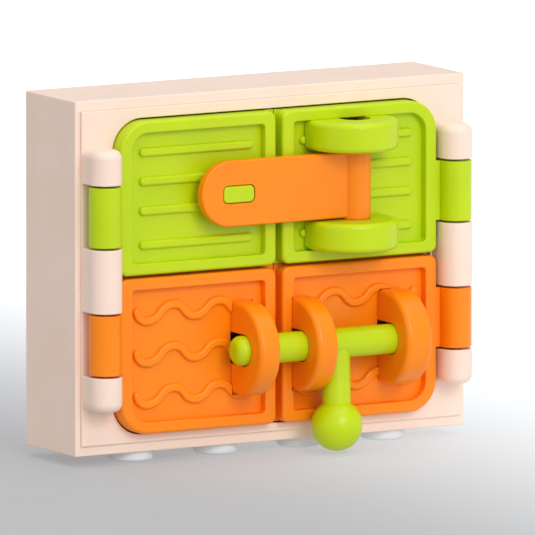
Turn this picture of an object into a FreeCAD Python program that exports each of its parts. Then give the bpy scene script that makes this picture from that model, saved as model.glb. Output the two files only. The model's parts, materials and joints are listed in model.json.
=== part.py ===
import FreeCAD, Part
import math
import os
import re
from FreeCAD import Vector, Rotation, Placement
import Sketcher

# Toddler's activity board: an upright box with four small doors let into one
# opening in its front. The two upper doors carry a swinging hasp that drops over
# a tab, the two lower doors carry three loops with a sliding bolt.
# X is to the viewer's right, Z is up and the front faces -Y. Sizes are in mm.
# Positions are worked out as X, D and H: D is the distance in front of the
# box's front surface, H the height above the middle of the box.

doc = FreeCAD.newDocument("activity_board")
sheet = doc.addObject("Spreadsheet::Sheet", "Sheet")

SIZES = [
    # box
    ("board_wide", 250.0), ("board_tall", 199.0), ("board_deep", 58.0),
    ("side_wall", 3.2), ("rail_wall", 5.8), ("panel_thick", 5.0),
    ("cover_thick", 3.5), ("board_thick", 3.2), ("post_rad", 5.0),
    ("opening_play", 0.9), ("opening_side", 0.6), ("opening_edge", 0.5), ("seam_panel", 0.4), ("seam_case", 0.4), ("lip_step", 1.8), ("stop_front", 3.2), ("shelf_high", 0.15),
    ("foot_rad", 12.5), ("foot_tall", 6.0), ("foot_front_back", 17.0), ("foot_rear_back", 44.5),
    ("foot_inner", 27.0), ("foot_outer", 81.0), ("foot_edge", 2.0),
    # doors
    ("door_rear", -2.2), ("door_back", 0.4), ("door_front", 8.5), ("recess_floor", 3.5), ("border_wide", 6.5), ("border_side", 7.3), ("rim_wide", 3.0),
    ("door_in", 2.0), ("door_out", 101.6), ("upper_low", 1.0), ("upper_high", 87.1),
    ("lower_high", -0.7), ("lower_low", -88.3), ("corner_big", 17.5), ("corner_small", 4.4), ("tongue_front", -0.8), ("tongue_left", 2.9), ("tongue_right", 0.5), ("tongue_tall", 0.5), ("tongue_in", 3.0),
    ("edge_round", 1.8), ("recess_big", 10.5), ("recess_small", 2.0), ("lip_round", 0.7),
    ("rib_wide", 4.9), ("rib_tall", 2.4), ("rib_round", 1.5), ("rib_in", 15.1), ("rib_out", 87.6),
    ("rib_one", 69.3), ("rib_two", 53.0), ("rib_three", 36.4), ("rib_four", 17.3),
    ("wave_wide", 4.8), ("wave_row", 23.45), ("wave_shift", 103.4),
    # hinges
    ("hinge_x", 112.5), ("hinge_ahead", 9.85), ("knuckle_rad", 9.2), ("block_half", 9.4),
    ("block_mid", 17.8), ("block_near", 53.8), ("block_far", 73.4), ("knuckle_gap", 1.2), ("knuckle_edge", 0.5),
    ("pin_rad", 2.0), ("pin_play", 0.1), ("pin_end", 69.0), ("dome_round", 5.0),
    # rings
    ("ring_half", 26.2), ("ring_straight", 8.4), ("ring_round", 3.0), ("ring_base", 1.4),
    ("slot_half", 9.0), ("bolt_ahead", 18.2), ("bolt_high", -44.1),
    ("ring_one_low", -28.9), ("ring_one_high", -15.6), ("ring_two_low", 8.0), ("ring_two_high", 21.4),
    ("ring_three_low", 65.7), ("ring_three_high", 82.0),
    ("hasp_x", 46.3), ("hasp_ring_x", 44.4), ("hasp_ahead", 12.4), ("hole_rad", 8.6),
    ("low_ring_bottom", 8.0), ("low_ring_top", 24.5), ("high_ring_bottom", 64.0), ("high_ring_top", 80.75),
    # hasp
    ("barrel_rad", 8.6), ("barrel_low", 25.0), ("barrel_high", 63.5), ("trunnion_rad", 8.1), ("trunnion_long", 8.0),
    ("arm_back", 10.4), ("arm_front", 16.5), ("arm_low", 25.6), ("arm_high", 62.5), ("arm_tip", -54.3), ("arm_round", 1.2),
    ("tab_x", -30.6), ("tab_high", 43.6), ("tab_half_wide", 9.8), ("tab_half_tall", 4.7), ("tab_corner", 2.9), ("tab_edge", 0.8), ("slot_gap_front", 0.35), ("slot_gap_back", 1.1), ("slot_edge", 0.4),
    # bolt
    ("rod_rad", 8.4), ("rod_left", -35.6), ("rod_right", 74.4), ("rod_end_round", 5.0),
    ("grip_x", 30.4), ("grip_rad", 7.9), ("grip_play", 0.1), ("ball_rad", 14.4), ("ball_x", 28.4), ("ball_ahead", 22.8), ("ball_high", -89.5), ("ball_socket", 8.0),
    # screws
    ("screw_rad", 1.4), ("head_rad", 2.9), ("head_thick", 1.5), ("ring_screw_off", 18.0), ("ring_screw_long", 11.0),
    ("block_screw_long", 6.0), ("cover_screw_long", 12.0), ("head_clear", 0.2),
    # how far the loops stand out in front
    ("front_reach", 38.1),
]
for n, (alias, size) in enumerate(SIZES, start=2):
    sheet.set("A%d" % n, alias.replace("_", " "))
    sheet.set("B%d" % n, repr(size))
    sheet.setAlias("B%d" % n, alias)
sheet.set("A1", "name")
sheet.set("B1", "mm")
row = len(SIZES) + 2
# the front surface's place along Y, with the whole depth centred on Y = 0, and
# the mid height
sheet.set("A%d" % row, "front plane")
sheet.set("B%d" % row, "=(front_reach - board_deep) / 2")
sheet.setAlias("B%d" % row, "front_plane")
sheet.set("A%d" % (row + 1), "mid height")
sheet.set("B%d" % (row + 1), "=foot_tall + board_tall / 2")
sheet.setAlias("B%d" % (row + 1), "mid_height")
doc.recompute()

NAMES = [alias for alias, size in SIZES] + ["front_plane", "mid_height"]
WORD = re.compile(r"[A-Za-z_]+")
S = {name: float(sheet.get(name)) for name in NAMES}


def ex(text):
    """Turn a text in cell names into an expression on the sheet."""
    return WORD.sub(lambda m: "Sheet." + m.group(0) if m.group(0) in NAMES else m.group(0), str(text))


def put(obj, x, d, h):
    """Bind an object's base point to the sheet."""
    obj.setExpression(".Placement.Base.x", ex(x))
    obj.setExpression(".Placement.Base.y", ex("front_plane - (%s)" % d))
    obj.setExpression(".Placement.Base.z", ex("mid_height + (%s)" % h))


def box(name, x0, x1, d0, d1, h0, h1):
    b = doc.addObject("Part::Box", name)
    b.setExpression("Length", ex("(%s) - (%s)" % (x1, x0)))
    b.setExpression("Width", ex("(%s) - (%s)" % (d1, d0)))
    b.setExpression("Height", ex("(%s) - (%s)" % (h1, h0)))
    put(b, x0, d1, h0)
    return b


TURN = {"X": Rotation(Vector(0, 1, 0), 90), "D": Rotation(Vector(1, 0, 0), 90), "H": Rotation()}


def rod(name, axis, radius, start, end, a, b):
    """Cylinder along X, D or H; a and b are its other two coordinates."""
    c = doc.addObject("Part::Cylinder", name)
    c.setExpression("Radius", ex(radius))
    c.setExpression("Height", ex("(%s) - (%s)" % (end, start)))
    c.Placement = Placement(Vector(), TURN[axis])
    if axis == "X":
        put(c, start, a, b)
    elif axis == "D":
        put(c, a, start, b)
    else:
        put(c, a, b, start)
    return c


def wedge(name, x, h, d0, d1, half_w0, half_w1, half_h0, half_h1):
    """Tapered block about x and h: half sizes 0 at d0 (rear), 1 at d1 (front)."""
    w = doc.addObject("Part::Wedge", name)
    for key, text in (("Ymin", "0"), ("Ymax", "(%s) - (%s)" % (d1, d0)),
                      ("Xmin", "-(%s)" % half_w1), ("Xmax", half_w1), ("Zmin", "-(%s)" % half_h1), ("Zmax", half_h1),
                      ("X2min", "-(%s)" % half_w0), ("X2max", half_w0), ("Z2min", "-(%s)" % half_h0), ("Z2max", half_h0)):
        w.setExpression(key, ex(text))
    put(w, x, d1, h)
    return w


def cut(name, base, tool):
    c = doc.addObject("Part::Cut", name)
    c.Base = base
    c.Tool = tool
    return c


def fuse(name, shapes):
    f = doc.addObject("Part::MultiFuse", name)
    f.Shapes = shapes
    f.Refine = True
    return f


def group(name, shapes):
    """Separate solids kept as one group."""
    g = doc.addObject("Part::Compound", name)
    g.Links = shapes
    return g


def plane(body, role):
    return [f for f in body.Origin.OriginFeatures if f.Role == role][0]


def sketch_on(body, name, role, lift=None):
    sk = body.newObject("Sketcher::SketchObject", name)
    sk.AttachmentSupport = [(plane(body, role), "")]
    sk.MapMode = "FlatFace"
    if lift is not None:
        sk.setExpression(".AttachmentOffset.Base.z", ex(lift))
    return sk


def rectangle(sk, x0, x1, y0, y1, nums):
    """Rectangle tied to the sketch's origin by four bound distances."""
    a, b, c, d = nums
    p = [Vector(a, c, 0), Vector(b, c, 0), Vector(b, d, 0), Vector(a, d, 0)]
    first = sk.GeometryCount
    for i in range(4):
        sk.addGeometry(Part.LineSegment(p[i], p[(i + 1) % 4]), False)
    for i in range(4):
        sk.addConstraint(Sketcher.Constraint("Coincident", first + i, 2, first + (i + 1) % 4, 1))
    for i, kind in enumerate(("Horizontal", "Vertical", "Horizontal", "Vertical")):
        sk.addConstraint(Sketcher.Constraint(kind, first + i))
    for kind, geo, pos, text, num in (("DistanceX", first, 1, x0, a), ("DistanceX", first + 1, 2, x1, b),
                                      ("DistanceY", first, 1, y0, c), ("DistanceY", first + 2, 1, y1, d)):
        k = sk.addConstraint(Sketcher.Constraint(kind, -1, 1, geo, pos, num))
        sk.setExpression("Constraints[%d]" % k, ex(text))


def pad(body, name, sk, length):
    p = body.newObject("PartDesign::Pad", name)
    p.Profile = sk
    p.setExpression("Length", ex(length))
    return p


def pocket(body, name, sk, length):
    p = body.newObject("PartDesign::Pocket", name)
    p.Profile = sk
    p.setExpression("Length", ex(length))
    return p


def round_edges(body, name, base, pick, radius):
    """PartDesign fillet on the edges that pick(edge) chooses."""
    doc.recompute()
    chosen = ["Edge%d" % (i + 1) for i, e in enumerate(base.Shape.Edges) if pick(e)]
    f = body.newObject("PartDesign::Fillet", name)
    f.Base = (base, chosen)
    f.setExpression("Radius", ex(radius))
    doc.recompute()
    return f


def round_solid(name, base, pick, radius):
    """Part fillet with one radius on the edges that pick(edge) chooses."""
    doc.recompute()
    chosen = [(i + 1, radius, radius) for i, e in enumerate(base.Shape.Edges) if pick(e)]
    f = doc.addObject("Part::Fillet", name)
    f.Base = base
    f.Edges = chosen
    doc.recompute()
    return f


def S_of(text):
    """Size behind a cell name with an optional minus sign."""
    return -S[text[1:]] if text.startswith("-") else S[text]


def near(a, b, tol=0.02):
    return abs(a - b) < tol


def flat_at(edge, axis, value):
    box_ = edge.BoundBox
    low = {"X": box_.XMin, "Y": box_.YMin, "Z": box_.ZMin}[axis]
    high = {"X": box_.XMax, "Y": box_.YMax, "Z": box_.ZMax}[axis]
    return near(low, value) and near(high, value)


pieces = {}


def name_piece(obj, label):
    obj.Label = label
    pieces[label] = obj


# ---------------------------------------------------------------- the box
half_w = "board_wide / 2"
half_h = "board_tall / 2"
shell = cut("case_tube", box("case_block", "-board_wide / 2", half_w, "-board_deep", "-lip_step", "-board_tall / 2", half_h),
            box("case_hollow", "-board_wide / 2 + side_wall", "board_wide / 2 - side_wall", "-board_deep - 1", "1",
                "-board_tall / 2 + rail_wall", "board_tall / 2 - rail_wall"))
posts, bores = [], []
post_x = "(board_wide / 2 - side_wall - post_rad)"
post_h = "(board_tall / 2 - rail_wall - post_rad)"
for i, (sx, sh) in enumerate(((-1, -1), (1, -1), (-1, 1), (1, 1))):
    x, h = "%d * %s" % (sx, post_x), "%d * %s" % (sh, post_h)
    posts.append(rod("corner_post_%d" % i, "D", "post_rad", "-board_deep + cover_thick", "-panel_thick", x, h))
    posts.append(box("post_web_side_%d" % i, "%s - (%s)" % (x, "post_rad" if sx < 0 else "0"), "%s + (%s)" % (x, "post_rad" if sx > 0 else "0"),
                     "-board_deep + cover_thick", "-panel_thick",
                     "%s - (%s)" % (h, "post_rad" if sh < 0 else "0"), "%s + (%s)" % (h, "post_rad" if sh > 0 else "0")))
    bores.append(rod("post_bore_%d" % i, "D", "screw_rad", "-board_deep + cover_thick - 1", "-board_deep + cover_thick + cover_screw_long", x, h))
case_solid = cut("case_moulding", fuse("case_with_posts", [shell] + posts), fuse("post_bores", bores))
doc.recompute()
y_front = S["front_plane"] + S["lip_step"]
y_rear = S["front_plane"] + S["board_deep"]
outer = lambda e: (near(abs(e.CenterOfMass.x), S["board_wide"] / 2) or near(e.CenterOfMass.z, S["foot_tall"] + S["board_tall"]) or near(e.CenterOfMass.z, S["foot_tall"]))
case_body = round_solid("case_rounded", case_solid,
                        lambda e: outer(e) and (e.BoundBox.YLength > 40 or flat_at(e, "Y", y_front) or flat_at(e, "Y", y_rear)), 0.8)
inner_x = S["board_wide"] / 2 - S["side_wall"]
inner_h = S["board_tall"] / 2 - S["rail_wall"]
seam = lambda e: flat_at(e, "Y", y_front) and (near(abs(e.CenterOfMass.x), inner_x) or near(abs(e.CenterOfMass.z - S["mid_height"]), inner_h))
name_piece(round_solid("case_seam_rounded", case_body, seam, S["seam_case"]), "case_body")

# front panel, let in between the walls and a little proud of them, with one
# opening for the doors
panel = doc.addObject("PartDesign::Body", "front_panel")
put(panel, "-board_wide / 2 + side_wall", "-panel_thick", "-board_tall / 2 + rail_wall")
sk = sketch_on(panel, "panel_outline", "XZ_Plane")
pw = S["board_wide"] - 2 * S["side_wall"]
ph = S["board_tall"] - 2 * S["rail_wall"]
rectangle(sk, "0", "board_wide - 2 * side_wall", "0", "board_tall - 2 * rail_wall", (0, pw, 0, ph))
panel_pad = pad(panel, "panel_plate", sk, "panel_thick")
sk = sketch_on(panel, "door_opening", "XZ_Plane", "panel_thick")
mx, mh = pw / 2, ph / 2
tx, th = "(board_wide / 2 - side_wall)", "(board_tall / 2 - rail_wall)"
span = S["door_out"] + S["opening_side"]
foot_h, head_h = mh + S["lower_low"] - S["opening_play"], mh + S["upper_high"] + S["opening_play"]
rectangle(sk, "%s - door_out - opening_side" % tx, "%s + door_out + opening_side" % tx,
          "%s + lower_low - opening_play" % th, "%s + upper_high + opening_play" % th, (mx - span, mx + span, foot_h, head_h))
f = pocket(panel, "opening_cut", sk, "panel_thick")
through = lambda e: near(e.BoundBox.XLength, 0) and near(e.BoundBox.ZLength, 0) and abs(e.BoundBox.XMin - mx) < span + 1
f = round_edges(panel, "opening_corners", f, through, "corner_big + opening_play")
at_front = lambda e: flat_at(e, "Y", -S["panel_thick"])
on_rim = lambda e: near(e.BoundBox.XMin, 0) or near(e.BoundBox.XMax, pw) or near(e.BoundBox.ZMin, 0) or near(e.BoundBox.ZMax, ph)
f = round_edges(panel, "panel_seam", f, lambda e: at_front(e) and on_rim(e), "seam_panel")
round_edges(panel, "opening_rounded", f, lambda e: at_front(e) and e.BoundBox.XMin > 5 and e.BoundBox.XMax < pw - 5
            and e.BoundBox.ZMin > 2 and e.BoundBox.ZMax < ph - 2, "opening_edge")
holes = []
for sx in (-1, 1):
    for j, hh in enumerate(("block_far - 6", "block_near + 5", "block_mid - 6", "-block_mid + 6", "-block_near - 5", "-block_far + 6")):
        holes.append(rod("panel_hole_%d_%d" % (sx + 1, j), "D", "screw_rad", "-panel_thick - 1", "1", "%d * hinge_x" % sx, hh))
        holes.append(rod("panel_sink_%d_%d" % (sx + 1, j), "D", "head_rad + head_clear", "-panel_thick - 1", "-panel_thick + head_thick", "%d * hinge_x" % sx, hh))
name_piece(cut("panel_drilled", panel, fuse("panel_holes", holes)), "front_frame")

# rear cover, let in flush, on four screws
cover = box("cover_plate", "-board_wide / 2 + side_wall + 0.2", "board_wide / 2 - side_wall - 0.2", "-board_deep", "-board_deep + cover_thick",
            "-board_tall / 2 + rail_wall + 0.2", "board_tall / 2 - rail_wall - 0.2")
holes, screws = [], []
for i, (sx, sh) in enumerate(((-1, -1), (1, -1), (-1, 1), (1, 1))):
    x, h = "%d * %s" % (sx, post_x), "%d * %s" % (sh, post_h)
    holes += [rod("cover_hole_%d" % i, "D", "screw_rad", "-board_deep - 1", "-board_deep + cover_thick + 1", x, h),
              rod("cover_sink_%d" % i, "D", "head_rad + head_clear", "-board_deep - 1", "-board_deep + head_thick", x, h)]
    screws.append(fuse("cover_screw_%d" % i, [
        rod("cover_head_%d" % i, "D", "head_rad", "-board_deep + 0.2", "-board_deep + head_thick", x, h),
        rod("cover_shank_%d" % i, "D", "screw_rad", "-board_deep + 0.4", "-board_deep + cover_thick + cover_screw_long - 1", x, h)]))
name_piece(cut("cover_drilled", cover, fuse("cover_holes", holes)), "rear_cover")
name_piece(group("cover_screw_group", screws), "rear_cover_screws")

# shelf and upright divider cross with a halved joint; their noses reach into
# the opening and stop the doors
shelf_low, shelf_top = "shelf_high - board_thick / 2", "shelf_high + board_thick / 2"
shelf = fuse("shelf_board", [
    box("shelf_plate", "-board_wide / 2 + side_wall", "board_wide / 2 - side_wall", "-board_deep + cover_thick", "-panel_thick", shelf_low, shelf_top),
    box("shelf_nose", "-door_out + 0.5", "door_out - 0.5", "-panel_thick - 1", "-stop_front", shelf_low, shelf_top)])
name_piece(cut("shelf_halved", shelf, box("shelf_slot", "-board_thick / 2", "board_thick / 2", "-board_deep / 2", "0", "-5", "5")), "middle_shelf")
upright = fuse("upright_board", [
    box("upright_plate", "-board_thick / 2", "board_thick / 2", "-board_deep + cover_thick", "-panel_thick", "-board_tall / 2 + rail_wall", "board_tall / 2 - rail_wall"),
    box("upright_nose", "-board_thick / 2", "board_thick / 2", "-panel_thick - 1", "-stop_front", "lower_low", "upper_high")])
name_piece(cut("upright_halved", upright, box("upright_slot", "-5", "5", "-board_deep", "-board_deep / 2", shelf_low, shelf_top)), "upright_divider")

# feet: two rows of four round pads
for label, back in (("feet_front", "foot_front_back"), ("feet_rear", "foot_rear_back")):
    feet = []
    for i, x in enumerate(("-foot_outer", "-foot_inner", "foot_inner", "foot_outer")):
        f = rod("%s_pad_%d" % (label, i), "H", "foot_rad", "-board_tall / 2 - foot_tall", "-board_tall / 2", x, "-" + back)
        feet.append(round_solid("%s_round_%d" % (label, i), f, lambda e: flat_at(e, "Z", 0.0) and e.BoundBox.XLength > 1, S["foot_edge"]))
    name_piece(group(label + "_group", feet), label)

# ---------------------------------------------------------------- hinges
def hinge_block(label, side, low, high, dome):
    """Half-round knuckle with flat cheeks that stands on the front panel."""
    b = doc.addObject("PartDesign::Body", label + "_body")
    sk = sketch_on(b, label + "_outline", "XY_Plane")
    r, d = S["block_half"], S["hinge_ahead"]
    g = [Part.LineSegment(Vector(-r, d, 0), Vector(-r, 0, 0)),
         Part.ArcOfCircle(Part.Circle(Vector(0, 0, 0), Vector(0, 0, 1), r), math.pi, 2 * math.pi),
         Part.LineSegment(Vector(r, 0, 0), Vector(r, d, 0)),
         Part.LineSegment(Vector(r, d, 0), Vector(-r, d, 0))]
    for item in g:
        sk.addGeometry(item, False)
    sk.addConstraint(Sketcher.Constraint("Coincident", 1, 3, -1, 1))
    sk.addConstraint(Sketcher.Constraint("Coincident", 0, 2, 1, 1))
    sk.addConstraint(Sketcher.Constraint("Coincident", 1, 2, 2, 1))
    sk.addConstraint(Sketcher.Constraint("Coincident", 2, 2, 3, 1))
    sk.addConstraint(Sketcher.Constraint("Coincident", 3, 2, 0, 1))
    sk.addConstraint(Sketcher.Constraint("Vertical", 0))
    sk.addConstraint(Sketcher.Constraint("Vertical", 2))
    sk.addConstraint(Sketcher.Constraint("Horizontal", 3))
    sk.addConstraint(Sketcher.Constraint("PointOnObject", 0, 2, -1))
    k = sk.addConstraint(Sketcher.Constraint("Radius", 1, r))
    sk.setExpression("Constraints[%d]" % k, ex("block_half"))
    k = sk.addConstraint(Sketcher.Constraint("DistanceY", -1, 1, 3, 1, d))
    sk.setExpression("Constraints[%d]" % k, ex("hinge_ahead"))
    p = pad(b, label + "_pad", sk, "(%s) - (%s)" % (high, low))
    put(b, "%d * hinge_x" % side, "hinge_ahead", low)
    doc.recompute()
    span = b.Shape.BoundBox
    body_z = b.Placement.Base.z
    if dome:
        edge_h = (span.ZMax - body_z) if dome > 0 else 0.0
        p = round_edges(b, label + "_dome", p, lambda e: flat_at(e, "Z", edge_h) and not (near(e.BoundBox.YMin, d) and near(e.BoundBox.YMax, d)), "dome_round")
    tall = S_of(high) - S_of(low)
    ends = [z for z, domed in ((0.0, dome < 0), (tall, dome > 0)) if not domed]
    round_edges(b, label + "_ends", p, lambda e: any(flat_at(e, "Z", z) for z in ends) and not (near(e.BoundBox.YMin, d) and near(e.BoundBox.YMax, d)), "knuckle_edge")
    bore_low = low if dome >= 0 else "-pin_end"
    bore_high = high if dome <= 0 else "pin_end"
    tools = [rod(label + "_bore", "H", "pin_rad", "%s - %d" % (bore_low, 1 if dome >= 0 else 0), "%s + %d" % (bore_high, 1 if dome <= 0 else 0),
                 "%d * hinge_x" % side, "hinge_ahead")]
    return b, tools


all_screws = []
for side, word in ((-1, "left"), (1, "right")):
    for part, low, high, dome, at in (("top", "block_near", "block_far", 1, ("block_far - 6", "block_near + 5")),
                                      ("middle", "-block_mid", "block_mid", 0, ("block_mid - 6", "-block_mid + 6")),
                                      ("bottom", "-block_far", "-block_near", -1, ("-block_near - 5", "-block_far + 6"))):
        label = "hinge_block_%s_%s" % (word, part)
        b, tools = hinge_block(label, side, low, high, dome)
        for j, hh in enumerate(at):
            tools.append(rod("%s_pilot_%d" % (label, j), "D", "screw_rad", "-1", "block_screw_long", "%d * hinge_x" % side, hh))
            all_screws.append(fuse("%s_screw_%d" % (label, j), [
                rod("%s_head_%d" % (label, j), "D", "head_rad", "-panel_thick + 0.1", "-panel_thick + head_thick", "%d * hinge_x" % side, hh),
                rod("%s_shank_%d" % (label, j), "D", "screw_rad", "-panel_thick + 0.4", "block_screw_long - 0.5", "%d * hinge_x" % side, hh)]))
        name_piece(cut(label + "_cut", b, fuse(label + "_tools", tools)), label)
    name_piece(rod("pin_" + word, "H", "pin_rad", "-pin_end + 0.3", "pin_end - 0.3", "%d * hinge_x" % side, "hinge_ahead"), "hinge_pin_" + word)
name_piece(group("hinge_screw_group", all_screws), "hinge_block_screws")

# ---------------------------------------------------------------- doors
# centre line of the topmost wavy strip of the left door, as X and H: its start,
# its turning points and its end
WAVE = [(-89.4, -20.2), (-82.8, -25.5), (-65.6, -16.9), (-52.0, -24.3), (-36.8, -16.9), (-22.4, -24.1), (-14.5, -20.0)]


def wave_strip(name, shift, drop):
    """Raised wavy strip of tangent arcs, with round ends and a round back."""
    half = S["wave_wide"] / 2
    turns = [Vector(x + shift, 0, h - drop) for x, h in WAVE]
    arcs = []
    for i in range(len(turns) - 1):
        p, q = turns[i], turns[i + 1]
        rise = q.z - p.z
        if i == 0 or i == len(turns) - 2:
            flat, other = (q, p) if i == 0 else (p, q)
            r = (p - q).Length ** 2 / (2 * abs(rise))
            arcs.append((flat + Vector(0, 0, r if other.z > flat.z else -r), p, q))
        else:
            r = (p - q).Length ** 2 / (4 * abs(rise))
            up = 1 if rise > 0 else -1
            mid = (p + q) * 0.5
            arcs += [(p + Vector(0, 0, up * r), p, mid), (q - Vector(0, 0, up * r), mid, q)]

    top, low, ends = [], [], []
    for centre, p, q in arcs:
        r = (p - centre).Length
        mid = centre + ((p - centre) + (q - centre)).normalize() * r
        sign = 1 if centre.z < mid.z else -1
        rays = [(at - centre).normalize() * (half * sign) for at in (p, mid, q)]
        trio = [at + ray for at, ray in zip((p, mid, q), rays)]
        duo = [at - ray for at, ray in zip((p, mid, q), rays)]
        top.append(Part.Arc(*trio).toShape())
        low.append(Part.Arc(*duo).toShape())
        ends += [(trio[0], duo[0]), (trio[2], duo[2])]

    def cap(pair, out):
        a, b = pair
        across = (b - a) * 0.5
        bulge = Vector(across.z, 0, -across.x)
        if bulge.dot(out) < 0:
            bulge = bulge * -1
        return Part.Arc(a, (a + b) * 0.5 + bulge, b).toShape()
    edges = top + low + [cap(ends[0], Vector(0, 0, 1)), cap(ends[-1], Vector(1, 0, 0))]
    face = Part.Face(Part.Wire(Part.__sortEdges__(edges)))
    f = doc.addObject("Part::Feature", name)
    f.Shape = face.extrude(Vector(0, -(S["rib_tall"] + 0.5), 0))
    f.Placement = Placement(Vector(0, S["front_plane"] - S["recess_floor"] + 0.5, S["mid_height"]), Rotation())
    y_top = S["front_plane"] - S["recess_floor"] - S["rib_tall"]
    return round_solid(name + "_rounded", f, lambda e: flat_at(e, "Y", y_top), S["rib_round"])


def door(label, side, low, high, top_big):
    """Door: slab with a recessed field, a hollow back and a hinge knuckle."""
    b = doc.addObject("PartDesign::Body", label + "_slab")
    x0 = "-door_out" if side < 0 else "door_in"
    put(b, x0, "door_rear", low)
    w = S["door_out"] - S["door_in"]
    t = S["door_front"] - S["door_rear"]
    tall = S[high] - S[low]
    sk = sketch_on(b, label + "_outline", "XZ_Plane")
    rectangle(sk, "0", "door_out - door_in", "0", "%s - %s" % (high, low), (0, w, 0, tall))
    p = pad(b, label + "_plate", sk, "door_front - door_rear")
    deep = lambda e, x, z: near(e.BoundBox.XLength, 0) and near(e.BoundBox.ZLength, 0) and near(e.BoundBox.XMin, x) and near(e.BoundBox.ZMin, z)

    def corners(base, tag, inset, big, small, across=None):
        """Round one rectangle's corners: big at the door's outer one."""
        wide = inset if across is None else across
        x, z = (wide if side < 0 else w - wide), (tall - inset if top_big else inset)
        g = round_edges(b, label + tag + "_corner", base, lambda e: deep(e, x, z), big)
        return round_edges(b, label + tag + "_corners", g, lambda e: any(deep(e, i, j) for i in (wide, w - wide) for j in (inset, tall - inset)
                                                                         if not (near(i, x) and near(j, z))), small)
    sk = sketch_on(b, label + "_hollow", "XZ_Plane")
    rw = S["rim_wide"]
    rectangle(sk, "rim_wide", "door_out - door_in - rim_wide", "rim_wide", "%s - %s - rim_wide" % (high, low), (rw, w - rw, rw, tall - rw))
    q = pocket(b, label + "_back_cut", sk, "door_back - door_rear")
    q.Reversed = True
    f = corners(q, "_back", rw, "corner_big - rim_wide", "corner_small - rim_wide")
    f = corners(f, "_outer", 0.0, "corner_big", "corner_small")
    sk = sketch_on(b, label + "_field", "XZ_Plane", "door_front - door_rear")
    bw, bs = S["border_wide"], S["border_side"]
    rectangle(sk, "border_side", "door_out - door_in - border_side", "border_wide", "%s - %s - border_wide" % (high, low), (bs, w - bs, bw, tall - bw))
    q = pocket(b, label + "_recess", sk, "door_front - recess_floor")
    f = corners(q, "_field", bw, "recess_big", "recess_small", bs)
    front_y = -t

    def on_outline(e):
        c = e.BoundBox
        return flat_at(e, "Y", front_y) and (near(c.XMin, 0) or near(c.XMax, w) or near(c.ZMin, 0) or near(c.ZMax, tall))
    f = round_edges(b, label + "_edge", f, on_outline, "edge_round")

    def on_field(e):
        c = e.BoundBox
        return flat_at(e, "Y", front_y) and c.XMin > bw - 0.1 and c.XMax < w - bw + 0.1 and c.ZMin > bw - 0.1 and c.ZMax < tall - bw + 0.1
    round_edges(b, label + "_lip", f, on_field, "lip_round")

    sign = "-1" if side < 0 else "1"
    k0 = "block_mid + knuckle_gap" if top_big else "-block_near + knuckle_gap"
    k1 = "block_near - knuckle_gap" if top_big else "-block_mid - knuckle_gap"
    knuckle = rod(label + "_knuckle", "H", "knuckle_rad", k0, k1, "%s * hinge_x" % sign, "hinge_ahead")
    if side < 0:
        web = box(label + "_web", "-hinge_x", "-door_out + 2", "hinge_ahead - knuckle_rad", "door_front", k0, k1)
    else:
        web = box(label + "_web", "door_out - 2", "hinge_x", "hinge_ahead - knuckle_rad", "door_front", k0, k1)
    leaf = fuse(label + "_leaf", [knuckle, web])
    doc.recompute()
    ends = (leaf.Shape.BoundBox.ZMin, leaf.Shape.BoundBox.ZMax)
    leaf = round_solid(label + "_leaf_ends", leaf, lambda e: any(flat_at(e, "Z", z) for z in ends) and e.BoundBox.XLength > 0.1, S["knuckle_edge"])
    # thin tongues that close the gaps to the other doors from behind
    reach = "tongue_left" if side < 0 else "tongue_right"
    if top_big:
        strips = (("meet", "door_in + tongue_in", "%s - tongue_tall" % low, high),
                  ("mid", "door_out - tongue_in", "%s - tongue_tall" % low, "%s + tongue_in" % low))
    else:
        strips = (("meet", "door_in + tongue_in", low, "%s + tongue_tall" % high),
                  ("mid", "door_out - tongue_in", "%s - tongue_in" % high, "%s + tongue_tall" % high))
    tongues = []
    for tag, x_end, h0, h1 in strips:
        x_in = "door_in - %s" % reach
        x_a, x_b = ("-(%s)" % x_end, "-(%s)" % x_in) if side < 0 else (x_in, x_end)
        tongues.append(box("%s_tongue_%s" % (label, tag), x_a, x_b, "door_rear", "tongue_front", h0, h1))
    return b, [leaf] + tongues, (k0, k1, sign)


def rib(name, x0, x1, high):
    """Straight raised bar with round ends and a round back."""
    parts = [box(name + "_bar", x0, x1, "recess_floor - 0.5", "recess_floor + rib_tall", "%s - rib_wide / 2" % high, "%s + rib_wide / 2" % high)]
    for j, x in enumerate((x0, x1)):
        parts.append(rod("%s_end_%d" % (name, j), "D", "rib_wide / 2", "recess_floor - 0.5", "recess_floor + rib_tall", x, high))
    y_top = S["front_plane"] - S["recess_floor"] - S["rib_tall"]
    return [round_solid(name + "_rounded", fuse(name + "_plain", parts), lambda e: flat_at(e, "Y", y_top), S["rib_round"])]


def finish_door(label, slab, extra, tools, spec):
    k0, k1, sign = spec
    tools.append(rod(label + "_pin_bore", "H", "pin_rad + pin_play", "%s - 1" % k0, "%s + 1" % k1, "%s * hinge_x" % sign, "hinge_ahead"))
    whole = fuse(label + "_moulding", [slab] + extra)
    name_piece(cut(label + "_drilled", whole, fuse(label + "_cuts", tools)), label)


def screw(name, x, h, length):
    return fuse(name, [rod(name + "_head", "D", "head_rad", "door_back + 0.1", "door_back + head_thick", x, h),
                       rod(name + "_shank", "D", "screw_rad", "door_back + 0.4", length, x, h)])


def screw_hole(name, x, h):
    return [rod(name + "_hole", "D", "screw_rad", "door_back - 1", "recess_floor + 5", x, h),
            rod(name + "_sink", "D", "head_rad + head_clear", "door_back - 1", "door_back + head_thick", x, h)]


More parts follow.
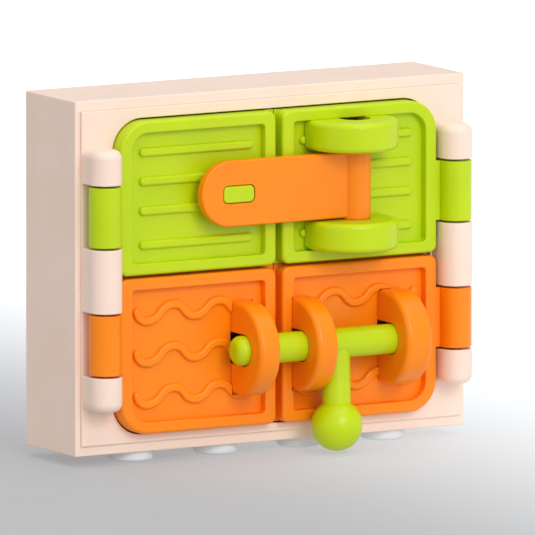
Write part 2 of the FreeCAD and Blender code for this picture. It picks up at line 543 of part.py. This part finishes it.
# upper left door: four straight ribs and the tab that the hasp drops over
slab, extra, spec = door("door_upper_left", -1, "upper_low", "upper_high", True)
for i, high in enumerate(("rib_one", "rib_two", "rib_three", "rib_four")):
    extra += rib("ul_rib_%d" % i, "-rib_out + rib_wide / 2", "-rib_in - rib_wide / 2", high)
tools = [box("ul_seat", "tab_x - tab_half_wide - 0.3", "tab_x + tab_half_wide + 0.3", "recess_floor", "recess_floor + 4",
             "tab_high - tab_half_tall - 0.3", "tab_high + tab_half_tall + 0.3")]
tab_screws = []
for i, s in enumerate(("-5", "5")):
    tools += screw_hole("ul_screw_%d" % i, "tab_x + (%s)" % s, "tab_high")
    tab_screws.append(screw("ul_screw_%d" % i, "tab_x + (%s)" % s, "tab_high", "arm_back"))
finish_door("door_upper_left", slab, extra, tools, spec)
name_piece(group("tab_screw_group", tab_screws), "tab_screws")

tab_block = doc.addObject("PartDesign::Body", "tab_block")
put(tab_block, "tab_x - tab_half_wide", "recess_floor", "tab_high - tab_half_tall")
sk = sketch_on(tab_block, "tab_outline", "XZ_Plane")
rectangle(sk, "0", "2 * tab_half_wide", "0", "2 * tab_half_tall", (0, 2 * S["tab_half_wide"], 0, 2 * S["tab_half_tall"]))
f = pad(tab_block, "tab_pad", sk, "arm_front - recess_floor")
f = round_edges(tab_block, "tab_corners", f, lambda e: near(e.BoundBox.XLength, 0) and near(e.BoundBox.ZLength, 0), "tab_corner")
front_y = -(S["arm_front"] - S["recess_floor"])
round_edges(tab_block, "tab_edge_round", f, lambda e: flat_at(e, "Y", front_y), "tab_edge")
pilots = [rod("tab_pilot_%d" % i, "D", "screw_rad", "0", "arm_back + 0.5", "tab_x + (%s)" % s, "tab_high") for i, s in enumerate(("-5", "5"))]
name_piece(cut("tab_drilled", tab_block, fuse("tab_pilots", pilots)), "lock_tab")

# upper right door: the ribs stop short of the hasp's barrel
slab, extra, spec = door("door_upper_right", 1, "upper_low", "upper_high", True)
for i, high in enumerate(("rib_one", "rib_two", "rib_three", "rib_four")):
    extra += rib("ur_rib_%d" % i, "rib_in + rib_wide / 2", "rib_out - rib_wide / 2", high)
tools = [box("ur_barrel_room", "hasp_x - barrel_rad - 1", "hasp_x + barrel_rad + 1", "recess_floor", "recess_floor + 4", "low_ring_bottom", "high_ring_top")]
ring_screws = []
for i, (low, high) in enumerate((("low_ring_bottom", "low_ring_top"), ("high_ring_bottom", "high_ring_top"))):
    tools.append(box("ur_seat_%d" % i, "hasp_ring_x - ring_half - 0.3", "hasp_ring_x + ring_half + 0.3", "recess_floor", "recess_floor + 4", "%s - 0.3" % low, "%s + 0.1" % high))
    tools.append(box("ur_window_%d" % i, "hasp_x - hole_rad", "hasp_x + hole_rad", "door_rear", "recess_floor + 1", low, high))
    for j, s in enumerate(("-ring_screw_off", "ring_screw_off")):
        nm = "ur_screw_%d_%d" % (i, j)
        tools += screw_hole(nm, "hasp_ring_x + (%s)" % s, "(%s + %s) / 2" % (low, high))
        ring_screws.append(screw(nm, "hasp_ring_x + (%s)" % s, "(%s + %s) / 2" % (low, high), "recess_floor + ring_screw_long - 1"))
finish_door("door_upper_right", slab, extra, tools, spec)
name_piece(group("hasp_ring_screw_group", ring_screws), "hasp_ring_screws")

# lower doors: three wavy strips each
for label, side, rings in (("door_lower_left", -1, (("ring_one_low", "ring_one_high"),)),
                           ("door_lower_right", 1, (("ring_two_low", "ring_two_high"), ("ring_three_low", "ring_three_high")))):
    slab, extra, spec = door(label, side, "lower_low", "lower_high", False)
    tag = "ll" if side < 0 else "lr"
    for i in range(3):
        extra.append(wave_strip("%s_wave_%d" % (tag, i), 0.0 if side < 0 else S["wave_shift"], i * S["wave_row"]))
    tools, ring_screws = [], []
    for i, (low, high) in enumerate(rings):
        tools.append(box("%s_seat_%d" % (tag, i), "%s - 0.3" % low, "%s + 0.3" % high, "recess_floor", "recess_floor + 6",
                         "bolt_high - ring_half - 0.3", "bolt_high + ring_half + 0.3"))
        tools.append(box("%s_window_%d" % (tag, i), low, high, "door_rear", "recess_floor + 1", "bolt_high - slot_half", "bolt_high + slot_half"))
        for j, s in enumerate(("-ring_screw_off", "ring_screw_off")):
            nm = "%s_screw_%d_%d" % (tag, i, j)
            tools += screw_hole(nm, "(%s + %s) / 2" % (low, high), "bolt_high + (%s)" % s)
            ring_screws.append(screw(nm, "(%s + %s) / 2" % (low, high), "bolt_high + (%s)" % s, "recess_floor + ring_screw_long - 1"))
    finish_door(label, slab, extra, tools, spec)
    name_piece(group(tag + "_ring_screw_group", ring_screws), "bolt_ring_screws_left" if side < 0 else "bolt_ring_screws_right")


# ---------------------------------------------------------------- loops
def loop(label, across, a, b, low, high, centre, hole, ahead):
    """D-shaped loop on a door. across is the axis its hole runs along: X or H.
    low and high are its two faces, centre its middle the other way."""
    mid = "recess_floor + ring_straight"
    if across == "X":
        foot = box(label + "_foot", low, high, "recess_floor", mid, "%s - ring_half" % centre, "%s + ring_half" % centre)
        bow = rod(label + "_bow", "X", "ring_half", low, high, mid, centre)
        keep = box(label + "_keep", low, high, "recess_floor", "recess_floor + 40", "%s - ring_half" % centre, "%s + ring_half" % centre)
        eye = rod(label + "_eye", "X", hole, "%s - 1" % low, "%s + 1" % high, ahead, centre)
        way = box(label + "_way", "%s - 1" % low, "%s + 1" % high, "recess_floor - 1", ahead, "%s - %s" % (centre, hole), "%s + %s" % (centre, hole))
    else:
        foot = box(label + "_foot", "%s - ring_half" % centre, "%s + ring_half" % centre, "recess_floor", mid, low, high)
        bow = rod(label + "_bow", "H", "ring_half", low, high, centre, mid)
        keep = box(label + "_keep", "%s - ring_half" % centre, "%s + ring_half" % centre, "recess_floor", "recess_floor + 40", low, high)
        eye = rod(label + "_eye", "H", hole, "%s - 1" % low, "%s + 1" % high, "hasp_x", ahead)
        way = box(label + "_way", "hasp_x - %s" % hole, "hasp_x + %s" % hole, "recess_floor - 1", ahead, "%s - 1" % low, "%s + 1" % high)
    front = doc.addObject("Part::Common", label + "_front")
    front.Base = bow
    front.Tool = keep
    whole = fuse(label + "_solid", [foot, front])
    doc.recompute()
    y_floor = S["front_plane"] - S["recess_floor"]
    y_mid = y_floor - S["ring_straight"]

    def rim(e):
        c = e.BoundBox
        if flat_at(e, "Y", y_floor):
            return False
        if across == "X":
            return flat_at(e, "X", S[low]) or flat_at(e, "X", S[high])
        return flat_at(e, "Z", S["mid_height"] + S[low]) or flat_at(e, "Z", S["mid_height"] + S[high])
    rounded = round_solid(label + "_round", whole, rim, S["ring_round"])
    rounded = round_solid(label + "_base", rounded, lambda e: flat_at(e, "Y", y_floor), S["ring_base"])
    tools = [eye, way]
    for j, s in enumerate(("-ring_screw_off", "ring_screw_off")):
        if across == "X":
            tools.append(rod("%s_pilot_%d" % (label, j), "D", "screw_rad", "0", "recess_floor + ring_screw_long", "(%s + %s) / 2" % (low, high), "%s + (%s)" % (centre, s)))
        else:
            tools.append(rod("%s_pilot_%d" % (label, j), "D", "screw_rad", "0", "recess_floor + ring_screw_long", "%s + (%s)" % (centre, s), "(%s + %s) / 2" % (low, high)))
    name_piece(cut(label + "_cut", rounded, fuse(label + "_tools", tools)), label)


for label, low, high in (("bolt_ring_left", "ring_one_low", "ring_one_high"), ("bolt_ring_middle", "ring_two_low", "ring_two_high"),
                         ("bolt_ring_right", "ring_three_low", "ring_three_high")):
    loop(label, "X", None, None, low, high, "bolt_high", "slot_half", "bolt_ahead")
for label, low, high in (("hasp_ring_lower", "low_ring_bottom", "low_ring_top"), ("hasp_ring_upper", "high_ring_bottom", "high_ring_top")):
    loop(label, "H", None, None, low, high, "hasp_ring_x", "hole_rad", "hasp_ahead")

# ---------------------------------------------------------------- hasp
arm_mid = "(arm_low + arm_high) / 2"
arm_half = "(arm_high - arm_low) / 2"
plate = box("arm_plate", "arm_tip + %s" % arm_half, "hasp_x", "arm_back", "arm_front", "arm_low", "arm_high")
tip = rod("arm_tip_round", "D", arm_half, "arm_back", "arm_front", "arm_tip + %s" % arm_half, arm_mid)
arm = fuse("arm_outline", [plate, tip])
y_arm = S["front_plane"] - S["arm_front"]
y_arm_back = S["front_plane"] - S["arm_back"]
arm = round_solid("arm_edges", arm, lambda e: (flat_at(e, "Y", y_arm) or flat_at(e, "Y", y_arm_back)) and not flat_at(e, "X", S["hasp_x"]), S["arm_round"])
barrel = rod("arm_barrel", "H", "barrel_rad", "barrel_low", "barrel_high", "hasp_x", "hasp_ahead")
trunnion = rod("arm_trunnion", "H", "trunnion_rad", "barrel_low - trunnion_long", "barrel_high + trunnion_long", "hasp_x", "hasp_ahead")
flare = "(slot_gap_back - slot_gap_front) / (arm_front - arm_back)"
gap_0 = "(slot_gap_back + %s)" % flare
gap_1 = "(slot_gap_front - %s)" % flare
slot_block = wedge("slot_block", "tab_x", "tab_high", "arm_back - 1", "arm_front + 1",
                   "tab_half_wide + " + gap_0, "tab_half_wide + " + gap_1, "tab_half_tall + " + gap_0, "tab_half_tall + " + gap_1)
slot_block = round_solid("slot_corners", slot_block, lambda e: e.BoundBox.YLength > 1, S["tab_corner"] + 0.4)
slotted = cut("arm_slotted", fuse("arm_whole", [arm, barrel, trunnion]), slot_block)
reach_x = S["tab_half_wide"] + S["slot_gap_front"] + 0.1
slot_rim = lambda e: flat_at(e, "Y", y_arm) and e.BoundBox.XMin > S["tab_x"] - reach_x and e.BoundBox.XMax < S["tab_x"] + reach_x
name_piece(round_solid("arm_slot_rim", slotted, slot_rim, S["slot_edge"]), "hasp_arm")

# ---------------------------------------------------------------- bolt
bar = rod("bolt_bar", "X", "rod_rad", "rod_left", "rod_right", "bolt_ahead", "bolt_high")
bar = round_solid("bolt_bar_left", bar, lambda e: flat_at(e, "X", S["rod_left"]) and e.BoundBox.ZLength > 1, S["rod_end_round"])
bar = round_solid("bolt_bar_right", bar, lambda e: flat_at(e, "X", S["rod_right"]) and e.BoundBox.ZLength > 1, 1.5)
name_piece(bar, "bolt_rod")

# grip: it hangs from the bar, leaning forward so that its ball clears the door
fall = Vector(S["ball_x"] - S["grip_x"], S["bolt_ahead"] - S["ball_ahead"], S["ball_high"] - S["bolt_high"])
LEAN = Rotation(Vector(0, 0, 1), fall)
LONG = "sqrt((ball_x - grip_x)^2 + (ball_ahead - bolt_ahead)^2 + (bolt_high - ball_high)^2) - ball_rad + ball_socket"


def hanging_rod(name):
    c = doc.addObject("Part::Cylinder", name)
    c.setExpression("Radius", ex("grip_rad"))
    c.setExpression("Height", ex(LONG))
    c.Placement = Placement(Vector(), LEAN)
    put(c, "grip_x", "bolt_ahead", "bolt_high")
    return c


room = rod("grip_saddle", "X", "rod_rad + grip_play", "grip_x - 20", "grip_x + 20", "bolt_ahead", "bolt_high")
name_piece(cut("grip_cut", hanging_rod("grip_stem"), room), "bolt_handle")
ball = doc.addObject("Part::Sphere", "grip_ball")
ball.setExpression("Radius", ex("ball_rad"))
put(ball, "ball_x", "ball_ahead", "ball_high")
name_piece(cut("ball_drilled", ball, hanging_rod("ball_socket_tool")), "handle_ball")

# ---------------------------------------------------------------- write
doc.recompute()
bad = []
for obj in doc.Objects:
    if "Invalid" in obj.State or "Error" in obj.State:
        bad.append("%s: %s" % (obj.Name, obj.State))
for label, obj in pieces.items():
    if obj.Shape.isNull() or not obj.Shape.isValid() or not obj.Shape.Solids:
        bad.append("%s: null or not valid" % label)
if bad:
    raise RuntimeError("; ".join(bad))
os.makedirs("parts", exist_ok=True)
total = FreeCAD.BoundBox()
for label, obj in sorted(pieces.items()):
    obj.Shape.exportStep("parts/%s.step" % label)
    c = obj.Shape.BoundBox
    total.add(c)
    print("%-26s solids %2d volume %9.1f  x %.2f %.2f  y %.2f %.2f  z %.2f %.2f" % (
        label, len(obj.Shape.Solids), obj.Shape.Volume, c.XMin, c.XMax, c.YMin, c.YMax, c.ZMin, c.ZMax))
print("pieces", len(pieces), "box", total)
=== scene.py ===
import json
import math

import bpy
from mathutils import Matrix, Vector


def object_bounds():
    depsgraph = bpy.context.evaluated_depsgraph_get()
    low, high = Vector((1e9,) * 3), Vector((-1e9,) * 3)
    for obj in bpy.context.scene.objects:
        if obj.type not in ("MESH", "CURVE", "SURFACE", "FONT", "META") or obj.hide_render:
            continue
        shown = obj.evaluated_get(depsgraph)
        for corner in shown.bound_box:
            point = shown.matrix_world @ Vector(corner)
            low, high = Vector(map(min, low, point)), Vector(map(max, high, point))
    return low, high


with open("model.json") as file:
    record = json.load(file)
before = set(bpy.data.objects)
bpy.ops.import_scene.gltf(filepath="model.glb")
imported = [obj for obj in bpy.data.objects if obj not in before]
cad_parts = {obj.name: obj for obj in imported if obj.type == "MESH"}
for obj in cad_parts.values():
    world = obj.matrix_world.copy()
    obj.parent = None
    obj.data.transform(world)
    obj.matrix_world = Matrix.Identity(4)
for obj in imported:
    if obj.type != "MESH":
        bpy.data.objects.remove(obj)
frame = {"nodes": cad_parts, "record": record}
CAD_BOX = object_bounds()
NODES = frame["nodes"]
LOW, HIGH = Vector(CAD_BOX[0]), Vector(CAD_BOX[1])

# ------------------------------------------------------------------ camera
# Long lens from the object's left, a little above: 30 degrees round, 8 up.
FRONT_Y = -0.00995          # the box's front surface
MID_Z = 0.1055              # its middle height
AZ, EL = math.radians(30.0), math.radians(8.0)
LENS, SENSOR, ACROSS = 1500.0, 36.0, 0.2980


def place_camera():
    data = bpy.data.cameras.new("camera")
    data.lens = LENS
    data.sensor_width = SENSOR
    data.sensor_fit = "HORIZONTAL"
    data.clip_start = 0.1
    data.clip_end = 50.0
    cam = bpy.data.objects.new("camera", data)
    bpy.context.scene.collection.objects.link(cam)
    target = Vector((-0.00304, FRONT_Y, MID_Z - 0.0014))
    back = Vector((-math.sin(AZ) * math.cos(EL), -math.cos(AZ) * math.cos(EL), math.sin(EL)))
    cam.location = target + back * (ACROSS * LENS / SENSOR)
    cam.rotation_euler = (-back).to_track_quat("-Z", "Y").to_euler()
    bpy.context.scene.camera = cam
    return cam


place_camera()


# --------------------------------------------------------------- materials
def new_material(name):
    m = bpy.data.materials.new(name)
    m.use_nodes = True
    nt = m.node_tree
    for n in list(nt.nodes):
        nt.nodes.remove(n)
    out = nt.nodes.new("ShaderNodeOutputMaterial")
    bsdf = nt.nodes.new("ShaderNodeBsdfPrincipled")
    nt.links.new(bsdf.outputs["BSDF"], out.inputs["Surface"])
    return m, nt, bsdf


def srgb(h):
    v = [int(h[i:i + 2], 16) / 255.0 for i in (0, 2, 4)]
    return tuple(c / 12.92 if c <= 0.04045 else ((c + 0.055) / 1.055) ** 2.4 for c in v) + (1.0,)


def plastic(name, light, dark, rough=0.43, coat=0.0, grain=0.05, gleam=0.36):
    """Injection-moulded plastic: slight mottling of the pigment, a fine
    moulded texture, faint flow waviness and uneven gloss from handling."""
    m, nt, bsdf = new_material(name)
    co = nt.nodes.new("ShaderNodeTexCoord")

    def noise(scale, detail, rough_=0.5):
        n = nt.nodes.new("ShaderNodeTexNoise")
        n.inputs["Scale"].default_value = scale
        n.inputs["Detail"].default_value = detail
        n.inputs["Roughness"].default_value = rough_
        nt.links.new(co.outputs["Object"], n.inputs["Vector"])
        return n

    blotch = noise(28.0, 3.0)
    ramp = nt.nodes.new("ShaderNodeMix")
    ramp.data_type = "RGBA"
    ramp.inputs["A"].default_value = dark
    ramp.inputs["B"].default_value = light
    spread = nt.nodes.new("ShaderNodeMapRange")
    spread.inputs["From Min"].default_value = 0.3
    spread.inputs["From Max"].default_value = 0.7
    nt.links.new(blotch.outputs["Fac"], spread.inputs["Value"])
    nt.links.new(spread.outputs["Result"], ramp.inputs["Factor"])
    nt.links.new(ramp.outputs["Result"], bsdf.inputs["Base Color"])

    gloss = noise(60.0, 4.0, 0.6)
    rmap = nt.nodes.new("ShaderNodeMapRange")
    rmap.inputs["To Min"].default_value = rough - 0.05
    rmap.inputs["To Max"].default_value = rough + 0.06
    nt.links.new(gloss.outputs["Fac"], rmap.inputs["Value"])
    nt.links.new(rmap.outputs["Result"], bsdf.inputs["Roughness"])

    fine = noise(1800.0, 2.0)
    b1 = nt.nodes.new("ShaderNodeBump")
    b1.inputs["Strength"].default_value = grain
    b1.inputs["Distance"].default_value = 0.0002
    nt.links.new(fine.outputs["Fac"], b1.inputs["Height"])
    wave = noise(22.0, 1.0)
    b2 = nt.nodes.new("ShaderNodeBump")
    b2.inputs["Strength"].default_value = 0.06
    b2.inputs["Distance"].default_value = 0.002
    nt.links.new(wave.outputs["Fac"], b2.inputs["Height"])
    nt.links.new(b1.outputs["Normal"], b2.inputs["Normal"])
    nt.links.new(b2.outputs["Normal"], bsdf.inputs["Normal"])
    bsdf.inputs["Coat Weight"].default_value = coat
    bsdf.inputs["Coat Roughness"].default_value = 0.18
    bsdf.inputs["IOR"].default_value = 1.49
    bsdf.inputs["Specular IOR Level"].default_value = gleam
    return m


def metal(name, tone, rough):
    m, nt, bsdf = new_material(name)
    co = nt.nodes.new("ShaderNodeTexCoord")
    n = nt.nodes.new("ShaderNodeTexNoise")
    n.inputs["Scale"].default_value = 900.0
    n.inputs["Detail"].default_value = 3.0
    nt.links.new(co.outputs["Object"], n.inputs["Vector"])
    r = nt.nodes.new("ShaderNodeMapRange")
    r.inputs["To Min"].default_value = rough - 0.08
    r.inputs["To Max"].default_value = rough + 0.1
    nt.links.new(n.outputs["Fac"], r.inputs["Value"])
    nt.links.new(r.outputs["Result"], bsdf.inputs["Roughness"])
    mix = nt.nodes.new("ShaderNodeMix")
    mix.data_type = "RGBA"
    mix.inputs["A"].default_value = tuple(c * 0.85 for c in tone[:3]) + (1.0,)
    mix.inputs["B"].default_value = tone
    nt.links.new(n.outputs["Fac"], mix.inputs["Factor"])
    nt.links.new(mix.outputs["Result"], bsdf.inputs["Base Color"])
    bsdf.inputs["Metallic"].default_value = 1.0
    return m


GREEN = plastic("green_plastic", srgb("C2DA06"), srgb("BAD403"), rough=0.33)
ORANGE = plastic("orange_plastic", srgb("FF8C08"), srgb("FC8605"), rough=0.34)
CREAM = plastic("cream_plastic", srgb("F9E0D0"), srgb("F5DAC8"), rough=0.46)
STEEL = metal("steel", (0.55, 0.55, 0.56, 1.0), 0.35)
RUBBER = plastic("foot_rubber", srgb("E9EAEC"), srgb("E2E3E5"), rough=0.55, coat=0.0, grain=0.12)

SLOTS = {s["node"]: s["material_slot"] for s in frame["record"]["subparts"]}
LOOK = {"green_plastic": GREEN, "orange_plastic": ORANGE, "cream_plastic": CREAM, "steel": STEEL, "foot_rubber": RUBBER}
for name, obj in NODES.items():
    mat = LOOK[SLOTS[name]]
    obj.data.materials.clear()
    obj.data.materials.append(mat)

# ------------------------------------------------------------- floor, light
def add_floor():
    """Pale studio floor with painted light: it glows a little, so no shadow on it goes black."""
    size = 6.0
    me = bpy.data.meshes.new("floor")
    me.from_pydata([(-size, -size, 0), (size, -size, 0), (size, size, 0), (-size, size, 0)], [], [(0, 1, 2, 3)])
    ob = bpy.data.objects.new("floor", me)
    ob.location = (0, 0, LOW.z - 0.0001)
    bpy.context.scene.collection.objects.link(ob)
    m, nt, bsdf = new_material("floor")
    co = nt.nodes.new("ShaderNodeTexCoord")
    n = nt.nodes.new("ShaderNodeTexNoise")
    n.inputs["Scale"].default_value = 6.0
    nt.links.new(co.outputs["Object"], n.inputs["Vector"])
    mix = nt.nodes.new("ShaderNodeMix")
    mix.data_type = "RGBA"
    mix.inputs["A"].default_value = (0.24, 0.24, 0.245, 1)
    mix.inputs["B"].default_value = (0.26, 0.26, 0.265, 1)
    nt.links.new(n.outputs["Fac"], mix.inputs["Factor"])
    nt.links.new(mix.outputs["Result"], bsdf.inputs["Base Color"])
    bsdf.inputs["Roughness"].default_value = 0.8
    bsdf.inputs["Specular IOR Level"].default_value = 0.2
    # painted light: the glow grows towards the right and the back, which leaves painted shade towards the front left
    parts = nt.nodes.new("ShaderNodeSeparateXYZ")
    nt.links.new(co.outputs["Object"], parts.inputs["Vector"])
    along = nt.nodes.new("ShaderNodeMapRange")
    along.interpolation_type = "SMOOTHSTEP"
    along.inputs["From Min"].default_value = -0.15
    along.inputs["From Max"].default_value = 0.35
    along.inputs["To Min"].default_value = 0.26
    along.inputs["To Max"].default_value = 0.84
    nt.links.new(parts.outputs["X"], along.inputs["Value"])
    away = nt.nodes.new("ShaderNodeMapRange")
    away.interpolation_type = "SMOOTHSTEP"
    away.inputs["From Min"].default_value = 0.1
    away.inputs["From Max"].default_value = 1.2
    away.inputs["To Min"].default_value = 0.0
    away.inputs["To Max"].default_value = 0.22
    nt.links.new(parts.outputs["Y"], away.inputs["Value"])
    both = nt.nodes.new("ShaderNodeMath")
    both.operation = "ADD"
    nt.links.new(along.outputs["Result"], both.inputs[0])
    nt.links.new(away.outputs["Result"], both.inputs[1])
    # painted light: bluish-white emission that brightens the floor and its shadows
    bsdf.inputs["Emission Color"].default_value = (0.95, 0.975, 1.0, 1)
    nt.links.new(both.outputs["Value"], bsdf.inputs["Emission Strength"])
    ob.data.materials.append(m)


def sun(name, azimuth, elevation, strength, spread, colour=(1, 1, 1)):
    """Broad distant light. azimuth is degrees to the right of the front."""
    data = bpy.data.lights.new(name, "SUN")
    data.energy = strength
    data.angle = math.radians(spread)
    data.color = colour
    ob = bpy.data.objects.new(name, data)
    a, e = math.radians(azimuth), math.radians(elevation)
    back = Vector((math.sin(a) * math.cos(e), -math.cos(a) * math.cos(e), math.sin(e)))
    ob.location = back * 2.0
    ob.rotation_euler = (-back).to_track_quat("-Z", "Y").to_euler()
    bpy.context.scene.collection.objects.link(ob)


add_floor()
sun("key", -4.0, 24.0, 1.02, 35.0)
sun("gleam", 0.0, 32.0, 0.26, 12.0)
sun("left_fill", -68.0, 18.0, 0.28, 60.0)
sun("top_fill", 15.0, 80.0, 1.05, 60.0, (0.97, 0.985, 1.0))
world = bpy.data.worlds.new("world")
bpy.context.scene.world = world
world.use_nodes = True
bg = world.node_tree.nodes["Background"]
bg.inputs["Color"].default_value = (1.0, 1.0, 1.0, 1)
bg.inputs["Strength"].default_value = 0.53
bpy.context.scene.view_settings.view_transform = "Standard"
